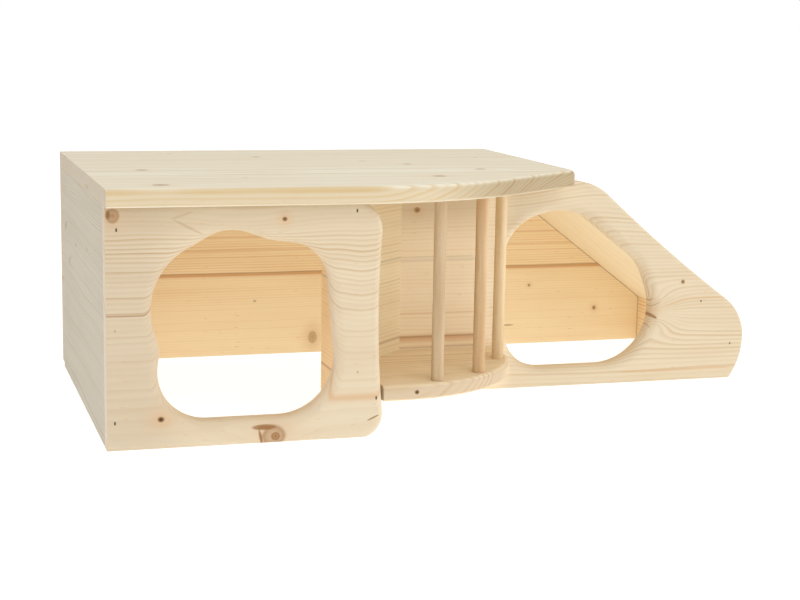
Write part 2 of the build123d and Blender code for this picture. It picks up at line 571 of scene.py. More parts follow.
class SpruceShader(Shader):
    """Shader of a spruce board, from its rings to its knots.

    Attributes:
        wood: The finish.
        place: Place in the maker's frame.
        along: Length along the grain from the heart.
        side: Length over the wide face from the heart.
        depth: Length through the board from the heart.
        slow: Slow noise from 0 to 1, by which rings stray and come and go.
        quick: Quick noise round 0, by which lines waver.
        fibre: Fine noise from 0 to 1.
        normal: The surface's normal.
        cut: How squarely the surface cuts the grain, from 0 to 1.
        end_grain: 1 on sawn ends and 0 on faces.
    """

    # Rings and blotches, with the waver in mm
    RING_WAVER = 1.1
    RING_BIAS = 1.7
    FAINTEST_RING = 0.22
    FADED_RING = 0.55
    RING_FADING = 0.8
    END_CONTRAST = 0.25
    SLANT_RESIN = 0.8
    BLOTCH_SHARE = 0.16
    DUCT_SHARE = 0.45

    # Knots, in sizes of the knot or as shares of their colour
    KNOT_WAVER = 0.3
    KNOT_PARTING = 1.65
    KNOT_RINGS = 3.0
    KNOT_SHARE = 0.75
    KNOT_GRAIN = 0.3
    EYE_CENTRE = 0.3
    RIM_PLACE = 0.9
    RIM_WIDTH = 0.2

    # Surface, with the relief in mm
    SHADE = 0.955
    FIBRE_SHADE = 0.09
    END_SHADE = 0.07
    ROUGHNESS = 0.66
    LATE_GLOSS = 0.08
    FIBRE_ROUGHNESS = 0.16
    LATE_RELIEF = 0.5
    RELIEF = 0.07
    SPECULAR = 0.28

    def __init__(self, wood: Spruce) -> None:
        """Measure the board by its grain, and set up the noises that several steps read.

        Args:
            wood: The finish.
        """
        super().__init__(wood.name)
        self.wood = wood
        self.place = self.maker_place()
        local = self.place.less(wood.heart)
        self.along = local.along(wood.grain.value)
        self.side = local.along(tuple(wood.across()))
        self.depth = local.along(wood.face.value)
        self.slow = self.noise(self.stretched(Pattern.SLOW, slid=wood.seed))
        self.quick = self.noise(self.stretched(Pattern.QUICK, slid=wood.seed)) - 0.5
        self.fibre = self.noise(self.stretched(Pattern.FIBRE), detail=4.0, roughness=0.65)
        self.normal = self.surface_normal()
        self.cut = abs(self.normal.along(wood.grain.value))
        self.end_grain = Step.END_CUT.of(self.cut)

    def stretched(self, pattern: Pattern, slid: float = 0.0, sunk: float = 0.0) -> Place:
        """Where to read a pattern, moved along the grain and into the board in its own sizes."""
        length, width = pattern.value
        return self.combine(self.along / length + slid, self.side / width, self.depth / width + sunk)

    def compose(self) -> bpy.types.Material:
        """Build the shader.

        Returns:
            The material.
        """
        wood = self.wood
        shares = [(knot, *self.knot_shares(knot)) for knot in wood.knots]
        radius = (self.side * self.side + self.depth * self.depth).root() + self.quick * self.RING_WAVER
        for knot, size, rise in shares:
            radius = radius + self.knot_lift(knot, size, rise)
        late = self.late_wood((radius + (self.slow - 0.5) * wood.wander) / wood.ring)
        pale, dark = self.cut_tones(*self.tones())
        colour = pale.toward(dark, late * (wood.contrast + self.end_grain * self.END_CONTRAST))
        colour = self.add_flecks(self.add_streaks(colour, radius))
        for knot, size, _ in shares:
            colour = self.add_knot(colour, knot, size + self.quick * self.KNOT_WAVER)
        shade = self.SHADE + self.fibre * self.FIBRE_SHADE - self.end_grain * self.END_SHADE
        roughness = self.ROUGHNESS - late * self.LATE_GLOSS + (self.fibre - 0.5) * self.FIBRE_ROUGHNESS
        relief = late * self.LATE_RELIEF + self.fibre
        self.surface(colour.shaded(shade), roughness, relief, self.RELIEF, self.SPECULAR)
        return self.material

    def late_wood(self, rings: Signal) -> Signal:
        """Late wood: each ring darkens slowly and ends sharply, some rings more than others.

        Args:
            rings: The number of rings from the tree's middle.

        Returns:
            The share of late wood, from 0 to 1.
        """
        wood = self.wood
        turn = rings.fraction()
        profile = Step.LATE_STARTS.of(turn) * (1 - Step.LATE_ENDS.of(turn))
        chance = self.chance(rings.math("FLOOR") + wood.seed) ** self.RING_BIAS
        strength = self.FAINTEST_RING + chance * (1 - self.FAINTEST_RING)
        height = self.place.along(Axis.Z.value)
        zone = wood.least + height.rise(*wood.clear) * (1 - height.rise(*wood.fade)) * (1 - wood.least)
        return profile * strength * zone * (self.FADED_RING + self.slow * self.RING_FADING)

    def tones(self) -> tuple[Tint, Tint]:
        """Colours of the early and the late wood, with slow blotches and the light or shade painted over
        part of the board.

        Returns:
            The early and the late colour.
        """
        wood = self.wood
        layer = wood.layer
        blotch = self.noise(self.stretched(Pattern.BLOTCH, sunk=wood.seed), detail=3.0)
        share = Step.BLOTCH.of(blotch) * self.BLOTCH_SHARE
        pale = self.mix(share, wood.pale, wood.late)
        dark = self.mix(share, wood.late, wood.pale)
        # Painted light or shade over part of the board, with dark seams where other boards meet that
        # part.
        if layer:
            way = layer.axis or wood.face
            painted_share = 1 - self.place.along(way.value).rise(layer.start, layer.end)
            pale = pale.toward(self.mix(share, layer.pale, layer.late), painted_share)
            dark = dark.toward(layer.late, painted_share)
            for seam in layer.seams:
                away = (self.place.along(seam.normal.value) - seam.offset) / seam.width
                line = away.bell() * (painted_share * seam.depth)
                pale = pale.toward(Mark.BARK.value, line)
                dark = dark.toward(Mark.BARK.value, line)
        return pale, dark

    def cut_tones(self, pale: Tint, dark: Tint) -> tuple[Tint, Tint]:
        """Give the board's edges and sawn ends their own colours.

        Args:
            pale: The early wood's colour.
            dark: The late wood's colour.

        Returns:
            The early and the late colour.
        """
        wood = self.wood
        if wood.edge:
            flat = Step.WIDE_FACE.of(abs(self.normal.along(wood.face.value)))
            pale = pale.toward(wood.edge, (1 - flat) * (1 - self.end_grain))
        if wood.slant:
            oblique = Step.SLANT_CUT.of(self.cut) * (1 - self.end_grain)
            pale = pale.toward(wood.slant, oblique)
            dark = dark.toward(Mark.RESIN.value, oblique * self.SLANT_RESIN)
        if wood.end:
            pale = pale.toward(wood.end, self.end_grain)
        return pale, dark

    def knot_shares(self, knot: Knot) -> tuple[Signal, Signal]:
        """Distances from a knot, in sizes of the knot.

        Args:
            knot: The knot.

        Returns:
            The distance from its middle, and the part of it across the grain.
        """
        wood = self.wood
        run = Vector((knot.axis or wood.face).value)
        first = Vector((wood.face if knot.axis is wood.grain else wood.grain).value)
        second = first.cross(run)
        turn = math.radians(knot.lean)
        length_way = first * math.cos(turn) + second * math.sin(turn)
        rise_way = second * math.cos(turn) - first * math.sin(turn)
        spot = self.place.less(knot.centre)
        length = spot.along(tuple(length_way / knot.half_length))
        rise = spot.along(tuple(rise_way / knot.half_width))
        return (length * length + rise * rise).root(), rise

    def knot_lift(self, knot: Knot, size: Signal, rise: Signal) -> Signal:
        """How far a knot moves the rings.

        Args:
            knot: The knot.
            size: The distance from its middle.
            rise: The distance across the grain.

        Returns:
            The change of the ring's radius.
        """
        away = (Vector(knot.centre) - Vector(self.wood.heart)).dot(self.wood.across())
        outward = math.copysign(self.KNOT_PARTING, away)
        return (size / knot.reach).bell() * (knot.swell - rise * (outward * knot.part / knot.reach))

    def add_knot(self, colour: Tint, knot: Knot, size: Signal) -> Tint:
        """Colour a knot: pink wood round it, a brown core with a dark rim and a dark middle.

        Args:
            colour: The wood's colour.
            knot: The knot.
            size: The distance from its middle.

        Returns:
            The colour with the knot.
        """
        if knot.halo:
            colour = colour.toward(Mark.FLUSH.value, (size / knot.halo_reach).bell() * knot.halo)
        if knot.core:
            inside = 1 - Step.KNOT_EDGE.of(size)
            growth = ((size * self.KNOT_RINGS).fraction() - 0.5) * self.KNOT_GRAIN
            brown = inside * (knot.core * (self.KNOT_SHARE + growth + self.fibre * self.KNOT_GRAIN))
            dark = ((size - self.RIM_PLACE) / self.RIM_WIDTH).bell() * (knot.rim * knot.core)
            if knot.eye:
                eye = 1 - size.rise(self.EYE_CENTRE * knot.eye, knot.eye)
                dark = dark.math("MAXIMUM", eye * knot.core ** 2)
            colour = colour.toward(Mark.KNOT.value, brown).toward(knot.ink.value, dark)
        return colour

    def add_streaks(self, colour: Tint, radius: Signal) -> Tint:
        """Draw the lines that stand out, and the broad bands of painted shade.

        Args:
            colour: The wood's colour.
            radius: The distance from the tree's middle line.

        Returns:
            The colour with the lines.
        """
        run = self.place.along(self.wood.grain.value)
        for streak in self.wood.streaks:
            line = ((radius - self.wood.level(streak.point)) / streak.width).bell()
            shown = run.rise(streak.first, streak.first + streak.soft)
            shown = shown * (1 - run.rise(streak.last - streak.soft, streak.last))
            colour = colour.toward(streak.mark.value, line * shown * streak.depth)
        return colour

    def add_flecks(self, colour: Tint) -> Tint:
        """Scatter short resin ducts along the grain.

        Args:
            colour: The wood's colour.

        Returns:
            The colour with the ducts.
        """
        near, chance = self.cells(self.stretched(Pattern.DUCT, slid=self.wood.seed))
        duct = (1 - Step.DUCT_EDGE.of(near)) * Step.DUCT_CHANCE.of(chance)
        return colour.toward(Mark.AMBER.value, duct * self.DUCT_SHARE)


@dataclass(frozen=True)
class Beech:
    """Turned beech dowel with short dark flecks along it.

    Attributes:
        slot: Its slot in the record.
        name: The finish's name.
        pale: The light wood's colour.
        warm: The darker wood's colour.
        fleck: The flecks' colour.
        bands: Bands of the two colours for each mm along X, Y and Z.
        fibres: Fibres for each mm.
        flecks: Flecks for each mm.
        strength: How strong the flecks are, from 0 to 1.
    """

    slot: ClassVar[Slot] = Slot.BEECH
    name: str
    pale: Colour
    warm: Colour
    fleck: Colour = linear(172, 124, 80)
    bands: Point = (0.16, 0.16, 0.012)
    fibres: Point = (2.4, 2.4, 0.06)
    flecks: Point = (1.5, 1.5, 0.26)
    strength: float = 0.4

    def material(self) -> bpy.types.Material:
        """Build the finish.

        Returns:
            The material.
        """
        shader = Shader(self.name)
        place = shader.maker_place()
        band = shader.noise(place.scaled(self.bands), detail=3.0)
        fibre = shader.noise(place.scaled(self.fibres), detail=3.0, roughness=0.6)
        near, chance = shader.cells(place.scaled(self.flecks))
        dash = (1 - Step.DASH_EDGE.of(near)) * Step.DASH_CHANCE.of(chance) * self.strength
        colour = shader.mix(Step.BAND.of(band), self.pale, self.warm)
        colour = colour.toward(self.fleck, dash).shaded(0.95 + fibre * 0.1)
        shader.surface(colour, 0.55 + fibre * 0.14, fibre - dash, depth=0.05, specular=0.3)
        return shader.material


@dataclass(frozen=True)
class Worn:
    """Steel of the brads, or the dark ring round them, wood bruised by the brad with painted shade: one
    colour stained with another.

    Attributes:
        name: The finish's name.
        bare: Colour where it is clean.
        stain: Colour where it is stained.
        spread: Stains for each mm along X, Y and Z.
        blend: Noise values between which the stain sets in.
        rough: The least roughness, and how much the stain adds to it.
        relief: Height of the stains, in mm.
        specular: The specular level.
    """

    name: str
    bare: Colour
    stain: Colour
    spread: Point = (2.2, 2.2, 1.4)
    blend: tuple[float, float] = (0.35, 0.6)
    rough: tuple[float, float] = (0.4, 0.3)
    relief: float = 0.04
    specular: float = 0.5

    def material(self) -> bpy.types.Material:
        """Build the finish.

        Returns:
            The material.
        """
        shader = Shader(self.name)
        noise = shader.noise(shader.maker_place().scaled(self.spread), detail=3.0)
        colour = shader.mix(noise.rise(*self.blend), self.bare, self.stain)
        least, more = self.rough
        shader.surface(colour, least + noise * more, noise, self.relief, self.specular)
        return shader.material


STEEL = Worn("brad_steel", bare=linear(98, 84, 72), stain=linear(52, 40, 31))
RUSTY_STEEL = Worn("rusty_steel", bare=linear(150, 116, 84), stain=linear(104, 74, 50))
FILLED_STEEL = Worn("filled_steel", bare=linear(206, 180, 142), stain=linear(176, 146, 106))
# Dark ring round each brad head: partly wood bruised by the brad, partly painted shade of the dimple
# round the head.
BRUISED_AND_SHADED_WOOD = Worn(
    "bruised_and_shaded_wood",
    bare=linear(190, 158, 116),
    stain=linear(120, 86, 56),
    spread=(0.4, 2.0, 2.6),
    blend=(0.3, 0.7),
    rough=(0.6, 0.2),
    relief=0.05,
    specular=0.25,
)


@dataclass
class Assembly:
    """Boards that are dressed together.

    Attributes:
        sanded: Width of the broken edges of its square boards, in mm.
        square: Names of those boards.
        joined: Distance within which corners of the mesh are one, in mm.
        sharp: Angle from which an edge is broken, in degrees.
    """

    joined: ClassVar[float] = 0.01
    sharp: ClassVar[float] = 60.0
    sanded: float = 0.5
    square: tuple[str, ...] = ()

    def finishes(self) -> dict[str, Spruce | Beech]:
        """Finish of each board, by the board's name."""
        raise NotImplementedError

    def build(self) -> list[bpy.types.Object]:
        """Dress the boards, and break the edges of the square ones.

        Returns:
            The boards' objects.
        """
        boards = [self.dress(node, finish) for node, finish in self.finishes().items()]
        for node in self.square:
            self.ease(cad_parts[node])
        return boards

    def dress(self, node: str, finish: Spruce | Beech) -> bpy.types.Object:
        """Give a packed board its finish.

        Args:
            node: The board's name.
            finish: Its finish, which knows its slot in the record.

        Returns:
            The board's object.
        """
        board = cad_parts[node]
        board.data.materials.clear()
        board.data.materials.append(finish.material())
        return board

    def ease(self, board: bpy.types.Object) -> None:
        """Break a board's sharp edges, as sanding does.

        Args:
            board: The board's object.
        """
        weld = board.modifiers.new("joined_corners", "WELD")
        weld.merge_threshold = self.joined * MM
        bevel = board.modifiers.new("sanded_edges", "BEVEL")
        bevel.width = self.sanded * MM
        bevel.segments = 2
        bevel.limit_method = "ANGLE"
        bevel.angle_limit = math.radians(self.sharp)
        bevel.harden_normals = True


@dataclass
class LargeHouse(Assembly):
    """Large house at the left: end wall, front panel, back wall and roof.

    Attributes:
        cream: Pale colour of its front.
        honey: Line colour of its front.
    """

    square: tuple[str, ...] = ("left_end_wall", "back_wall")
    cream: Colour = linear(222, 206, 178)
    honey: Colour = linear(190, 154, 104)

    def front_panel(self) -> Spruce:
        """Finish of the left front panel: rings that lean back, with knots and cracks, and painted shade
        under the roof and at its left end.
        """
        resin = Mark.RESIN
        knots = (
            Knot((5.8, 0, 179.5), 4.8, 5.4, core=0.62, halo=0.25, part=1.0, eye=0.45, rim=0.5, ink=resin),
            Knot((2.4, 0, 180.2), 1.9, 3.8, core=0.62, eye=1.1, rim=0.0),
            Knot((40.8, 0, 23.1), 2.5, 2.1, core=1.0, halo=0.5, halo_reach=3.6, part=1.5, eye=1.0),
            Knot((128.5, 0, 5.5), 9.0, 8.0, core=0.5, halo=0.3, swell=3.0, eye=0.0, rim=0.9, ink=resin),
            Knot((130.0, 0, 5.0), 3.2, 3.2, core=0.75, eye=0.6, rim=0.9, ink=resin),
            Knot((121.0, 0, 12.6), 9.0, 2.1, core=0.85, eye=1.1, rim=0.6, ink=resin),
            Knot((118.2, 0, 5.0), 1.2, 6.5, core=0.8, eye=1.0, rim=0.4, lean=12.0, ink=resin),
            Knot((136.4, 0, 174.9), 1.9, 1.7, core=0.85, halo=0.5, halo_reach=3.2, part=1.2, eye=1.0),
            Knot((104.0, 0, 173.0), 40.0, 9.0, core=0.0, swell=5.0, reach=1.2),
            crack((57.5, 0, 179.0), 8.5, 1.0, core=0.24, lean=18.0),
            crack((62.0, 0, 170.2), 14.0, 1.1, core=0.28, lean=-27.5),
            crack((86.0, 0, 160.0), 5.0, 1.2, core=0.3, lean=-52.0),
            Knot((199.0, 0, 122.0), 14.0, 40.0, core=0.0, swell=2.6, reach=1.0),
            Knot((208.6, 0, 15.6), 5.2, 0.7, core=0.9, eye=0.0, rim=0.3, lean=24.0),
        )
        streaks = (
            Streak((0, 0, 103.8), -20, 40, 0.32, 0.7, soft=4.0),
            # Two broad bands at the head: painted shade under the roof's overhang.
            Streak((0, 0, 178.0), -60, 700, 9.0, 0.16, Mark.GREY),
            Streak((0, 0, 178.0), -60, 700, 9.0, 0.05, Mark.AMBER),
            Streak((0, 0, 33.5), 160, 260, 1.3, 0.42, Mark.AMBER),
        )
        return Spruce(
            name="spruce_left_front", grain=Axis.X, face=Axis.Y, heart=(0.0, 124.0, -16.0), ring=2.9,
            pale=self.cream, late=self.honey, contrast=0.72, wander=3.0, clear=(92.0, 112.0),
            # Paler sawn ends: partly their own colour, partly painted bounce light on the entrance jambs.
            fade=(150.0, 172.0), least=0.42, end=linear(226, 211, 188), knots=knots, streaks=streaks,
            # Darker left end of the panel, below X 20 to 75: painted shade.
            layer=PaintedLightZone(linear(212, 195, 168), linear(178, 144, 99), start=20.0, end=75.0, axis=Axis.X),
            seed=3.0,
        )

    def end_wall(self) -> Spruce:
        """Finish of the left end wall: grey wood, partly painted shade, whose rings run slanting over the
        face, with warm bounce light painted on its inner side.
        """
        knots = (
            Knot((0, 288, 137), 9.0, 3.0, core=0.4, part=3.0, lean=20.0),
            Knot((0, 257, 110), 12.0, 2.0, core=0.3, part=2.0, lean=24.0),
            Knot((0, 204, 130), 5.0, 1.6, core=0.35, part=1.0),
            Knot((0, 120, 138), 5.0, 1.4, core=0.35),
        )
        return Spruce(
            name="spruce_left_end", grain=Axis.Y, face=Axis.X, heart=(60.0, 0.0, -40.0), ring=2.9,
            # Grey, darker colours: partly the wood's own greyer tone, partly painted shade of the side
            # that faces left.
            pale=linear(198, 188, 169), late=linear(156, 138, 110), contrast=0.6, wander=12.0,
            knots=knots,
            # Warm inner side: painted bounce light.
            layer=PaintedLightZone(linear(238, 205, 158), linear(206, 160, 104), start=13.6, end=13.0),
            seed=11.0,
        )

    def roof(self) -> Spruce:
        """Finish of the roof: leaning rings that come out in tongues where its front bends."""
        small = (
            (48, 142, 5.0), (45, 20, 6.4), (287, 175, 4.0),
            (281, 65, 5.6), (337, 122, 4.8), (168, 258, 3.6),
        )
        faint = ((255, 208, 3.4), (120, 70, 2.2), (202, 128, 1.8), (372, 236, 2.4), (96, 300, 2.6))
        top = 200.0
        knots = (
            *(
                Knot((x, y, top), size, size * 0.8, core=0.62, halo=0.2, part=0.8, rim=0.3)
                for x, y, size in small
            ),
            *(
                Knot((x, y, top), size * 1.3, size * 0.7, core=0.45, part=0.5, rim=0.1)
                for x, y, size in faint
            ),
            Knot((416.0, 113.0, 189.5), 1.9, 1.7, core=0.8, eye=0.8, axis=Axis.X),
        )
        return Spruce(
            name="spruce_roof", grain=Axis.X, face=Axis.Z, heart=(0.0, 114.0, 100.0), ring=2.7,
            pale=linear(235, 227, 206), late=linear(204, 170, 108), contrast=0.8, wander=2.6,
            edge=linear(216, 199, 168), end=linear(201, 191, 172), slant=linear(178, 160, 126),
            knots=knots, seed=17.0,
        )

    def back_wall(self) -> Spruce:
        """Finish of the back wall: fine straight rings, with warm bounce light painted on its inner face.
        """
        seams = (Seam(Axis.SLOPE_FACE, 392.4), Seam(Axis.X, 583.8))
        knots = (
            Knot(
                (238.5, 321, 18.5), 4.2, 6.0, core=0.45, halo=0.5, part=1.5, eye=0.35, rim=0.2,
                ink=Mark.RESIN,
            ),
            Knot((463, 321, 63.2), 1.6, 1.5, core=0.65, halo=0.3, rim=0.1),
            Knot((535, 321, 37.8), 1.9, 2.2, core=0.75, halo=0.4, rim=0.1),
            Knot((441, 321, 23.0), 6.0, 0.6, core=0.8),
            Knot((181, 321, 56.0), 1.6, 1.2, core=0.4),
        )
        streaks = (
            Streak((0, 321, 82.0), -20, 640, 1.7, 0.8, Mark.AMBER),
            Streak((0, 321, 83.5), -20, 640, 0.6, 0.5),
            Streak((0, 321, 105.5), -20, 640, 0.6, 0.4, Mark.AMBER),
            Streak((0, 321, 118.0), -20, 640, 0.6, 0.45, Mark.AMBER),
        )
        return Spruce(
            name="spruce_back", grain=Axis.X, face=Axis.Y, heart=(0.0, 330.0, -70.0), ring=2.5,
            pale=linear(230, 214, 184), late=linear(203, 168, 116), contrast=0.88, wander=3.0,
            clear=(70.0, 100.0), least=0.3, end=linear(206, 192, 168), knots=knots, streaks=streaks,
            # Warm inner face: painted bounce light, with dark seams where the slope board and the right
            # end wall meet it.
            layer=PaintedLightZone(linear(254, 234, 193), linear(228, 178, 116), 321.5, 325.0, seams), seed=23.0,
        )

    def finishes(self) -> dict[str, Spruce | Beech]:
        """Finish of each board, by the board's name."""
        return {
            "left_front_panel": self.front_panel(),
            "left_end_wall": self.end_wall(),
            "roof_board": self.roof(),
            "back_wall": self.back_wall(),
        }


@dataclass
class LowHouse(Assembly):
    """Low house at the right: front panel, slope board and end wall.

    Attributes:
        cream: Pale colour of its front.
        honey: Line colour of its front.
    """

    square: tuple[str, ...] = ("slope_board", "right_end_wall")
    cream: Colour = linear(223, 207, 178)
    honey: Colour = linear(193, 156, 105)

    def front_panel(self) -> Spruce:
        """Finish of the right front panel: rings that lean forward and close round a knot, with painted
        light on its part in the niche and painted shade at the niche's top.
        """
        knots = (
            Knot((511.0, 143, 65.0), 6.0, 4.0, core=0.0, halo=0.35, part=-18.0, reach=4.0),
            Knot((511.0, 143, 66.0), 1.6, 2.0, core=0.85, eye=0.0),
            Knot((516.2, 143, 61.1), 4.4, 1.4, core=0.9, eye=0.0, rim=0.3, lean=-31.0),
            crack((511.4, 143, 76.0), 6.0, 0.6, core=0.6, lean=80.0),
            crack((514.4, 143, 73.6), 5.4, 0.5, core=0.6, lean=56.0),
            crack((518.4, 143, 71.4), 6.0, 0.5, core=0.5, lean=31.0),
            crack((513.0, 143, 52.4), 5.0, 0.5, core=0.45, lean=-60.0),
            crack((508.6, 143, 55.0), 5.0, 0.6, core=0.45, lean=72.0),
            Knot((544.9, 143, 92.2), 1.8, 1.8, core=0.85, halo=0.2, eye=0.7),
            Knot((455.0, 143, 190.0), 60.0, 45.0, core=0.0, swell=-12.0, reach=1.0),
            Knot((287.0, 143, 162.8), 2.8, 2.4, core=0.8, halo=0.4, halo_reach=2.4, part=2.0, rim=0.25),
        )
        streaks = (
            Streak((553, 143, 76.7), 520, 640, 0.7, 0.4, Mark.AMBER),
            Streak((0, 143, 118.5), 240, 350, 1.1, 0.25, Mark.GREY),
            Streak((0, 143, 121.5), 240, 345, 0.5, 0.35, Mark.GREY),
            Streak((0, 143, 49.0), 240, 352, 2.4, 0.6, Mark.AMBER),
            Streak((0, 143, 50.6), 240, 352, 0.7, 0.5),
            Streak((0, 143, 40.8), 240, 352, 0.6, 0.4),
            Streak((0, 143, 71.4), 240, 352, 0.6, 0.35, Mark.AMBER),
            # Two broad bands at the top of the niche: painted shade under the roof.
            Streak((0, 143, 170.0), 220, 356, 22.0, 0.38, Mark.GREY),
            Streak((0, 143, 170.0), 220, 356, 22.0, 0.08, Mark.AMBER),
            Streak((566, 143, 10.0), 480, 600, 0.6, 0.35, Mark.AMBER),
        )
        return Spruce(
            name="spruce_right_front", grain=Axis.X, face=Axis.Y, heart=(0.0, 53.0, -60.0), ring=2.9,
            pale=self.cream, late=self.honey, contrast=0.55, wander=7.0, knots=knots, streaks=streaks,
            # Paler part in the niche, left of the right entrance: painted light.
            layer=PaintedLightZone(linear(251, 233, 202), linear(234, 204, 156), 350.0, 384.0, axis=Axis.X),
            # Paler sawn ends: partly their own colour, partly painted bounce light on the entrance jambs.
            end=linear(226, 208, 178), seed=31.0,
        )

    def slope(self) -> Spruce:
        """Finish of the slope board: plain wood, with warm bounce light painted on its underside."""
        return Spruce(
            name="spruce_slope", grain=Axis.DOWN_SLOPE, face=Axis.SLOPE_FACE,
            heart=(480.0, 60.0, 20.0), ring=4.2, pale=linear(230, 213, 182),
            late=linear(205, 170, 118), contrast=0.4, wander=6.0,
            # Warm underside: painted bounce light.
            layer=PaintedLightZone(linear(242, 225, 188), linear(223, 186, 134), start=393.5, end=396.0),
            seed=41.0,
        )

    def end_wall(self) -> Spruce:
        """Finish of the right end wall, with warm bounce light painted on its inner side."""
        return Spruce(
            name="spruce_right_end", grain=Axis.Y, face=Axis.X, heart=(560.0, 0.0, -50.0), ring=3.4,
            pale=linear(230, 213, 182), late=linear(203, 166, 114), contrast=0.75, wander=8.0,
            # Warm inner side: painted bounce light.
            layer=PaintedLightZone(linear(247, 222, 178), linear(222, 174, 116), start=584.5, end=587.0),
            seed=47.0,
        )

    def finishes(self) -> dict[str, Spruce | Beech]:
        """Finish of each board, by the board's name."""
        return {
            "right_front_panel": self.front_panel(),
            "slope_board": self.slope(),
            "right_end_wall": self.end_wall(),
        }


@dataclass
class HayRack(Assembly):
    """Hay rack between the houses: shelf, cheek, diagonal wall and three bars.

    Attributes:
        tan: Pale colour of its walls.
        umber: Line colour of its walls.
    """

    sanded: float = 0.4
    square: tuple[str, ...] = ("hay_rack_cheek", "hay_rack_diagonal_wall")
    tan: Colour = linear(229, 210, 170)
    umber: Colour = linear(189, 149, 99)

    def wall(
        self, name: str, grain: Axis, face: Axis, seed: float, layer: PaintedLightZone | None = None
    ) -> Spruce:
        """Finish of a wall of the rack, with a grey streak and a dark line at the foot.

        Args:
            name: The finish's name.
            grain: Direction of its grain.
            face: Normal of its face.
            seed: A number that sets its chance apart.
            layer: Bounce light painted on its back, if it has any.

        Returns:
            The finish.
        """
        streaks = (
            Streak((230, 100, 121.5), -400, 400, 1.1, 0.4, Mark.GREY),
            Streak((230, 100, 51.0), -400, 400, 1.0, 0.5),
        )
        return Spruce(
            name=name, grain=grain, face=face, heart=(230.0, 100.0, -50.0), ring=3.2, pale=self.tan,
            late=self.umber, contrast=0.5, wander=5.0, streaks=streaks, layer=layer, seed=seed,
        )

    def shelf(self) -> Spruce:
        """Finish of the shelf: rings that lean, so that they sweep over its round edge."""
        knots = (
            Knot((245.7, 2.5, 33.8), 1.9, 1.7, core=0.95, eye=1.0, axis=Axis.Y),
            Knot((330.0, 96.0, 39.5), 6.0, 1.2, core=0.4),
        )
        return Spruce(
            name="spruce_shelf", grain=Axis.X, face=Axis.Z, heart=(0.0, 130.0, -30.0), ring=3.6,
            pale=linear(236, 216, 181), late=linear(196, 155, 104), edge=linear(211, 190, 160),
            # Pale sawn ends, paler than the faces: painted light that lifts the shade in the slot beside
            # the left panel.
            end=linear(246, 228, 196), contrast=0.7, wander=8.0, knots=knots, seed=53.0,
        )

    def finishes(self) -> dict[str, Spruce | Beech]:
        """Finish of each board and bar, by its name."""
        # Warm back of the cheek: painted bounce light.
        painted_bounce_back = PaintedLightZone(linear(250, 222, 176), linear(224, 182, 128), start=193.0, end=198.0)
        return {
            "hay_rack_cheek": self.wall("spruce_cheek", Axis.Y, Axis.X, seed=59.0, layer=painted_bounce_back),
            "hay_rack_diagonal_wall": self.wall(
                "spruce_diagonal", Axis.DIAGONAL, Axis.DIAGONAL_FACE, seed=61.0
            ),
            "hay_rack_floor": self.shelf(),
            "hay_bar_left": Beech("beech_left", linear(203, 178, 143), linear(190, 161, 123)),
            "hay_bar_middle": Beech("beech_middle", linear(220, 192, 152), linear(202, 165, 121)),
            "hay_bar_right": Beech("beech_right", linear(229, 205, 165), linear(216, 184, 138)),
        }


@dataclass
class Brads:
    """Row of steel brads driven through a board's face.

    Attributes:
        name: Name of the piece.
        face: Y of the face that they are driven into.
        outward: -1 for a face that looks to the front, 1 for one that looks to the back.
        spots: X and Z of each brad.
        half_width: Half the width of a head.
        half_length: Half the length of a head.
        rim: Width of the dark ring round a head, wood bruised by the brad with painted shade.
        sunk: How deep the dark ring starts under the face.
        swell: How far the dark ring swells over the face and the head.
        proud: Height of a head over the face.
        corners: Number of corners of a head's outline.
        steel: Finish of the heads.
    """

    name: str
    face: float
    outward: float
    spots: tuple[tuple[float, float], ...]
    half_width: float = 0.38
    half_length: float = 1.15
    rim: float = 0.35
    sunk: float = 0.2
    swell: float = 0.03
    proud: float = 0.1
    corners: int = 20
    steel: Worn = STEEL

    def outline(self, spot: tuple[float, float], grown: float, height: float) -> list[Vector]:
        """One ring of a head: a slot with round ends.

        Args:
            spot: X and Z of the brad.
            grown: How far the ring lies outside the head.
            height: Height of the ring over the face.

        Returns:
            The ring's points.
        """
        half_width = self.half_width + grown
        straight = self.half_length - self.half_width
        points = []
        for corner in range(self.corners):
            turn = 2 * math.pi * (corner + 0.5) / self.corners
            x = spot[0] + half_width * math.cos(turn)
            z = spot[1] + half_width * math.sin(turn) + math.copysign(straight, math.sin(turn))
            points.append(placed((x, self.face + self.outward * height, z)))
        return points

    def build(self) -> bpy.types.Object:
        """Make the brads as one piece.

        Returns:
            The piece's object.
        """
        head, bruised_and_shaded = range(2)
        # Each ring's distance outside the head, its height over the face and the finish below it
        steps = (
            (self.rim, -self.sunk, bruised_and_shaded),
            (self.rim * 0.8, self.swell, bruised_and_shaded),
            (self.swell, 0.01, head),
            (0.0, self.proud * 0.6, head),
            (-0.12, self.proud, head),
        )
        mesh = bmesh.new()
        for spot in self.spots:
            rings = []
            for grown, height, _ in steps:
                rings.append([mesh.verts.new(point) for point in self.outline(spot, grown, height)])
            for (_, _, finish), low, high in zip(steps[1:], rings, rings[1:]):
                for corner in range(self.corners):
                    after = (corner + 1) % self.corners
                    side = mesh.faces.new((low[corner], low[after], high[after], high[corner]))
                    side.material_index = finish
                    side.smooth = True
            mesh.faces.new(rings[-1])
        bmesh.ops.recalc_face_normals(mesh, faces=mesh.faces)
        piece = meshed(self.name, mesh)
        for finish in (self.steel, BRUISED_AND_SHADED_WOOD):
            piece.data.materials.append(finish.material())
        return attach(piece, BODY)


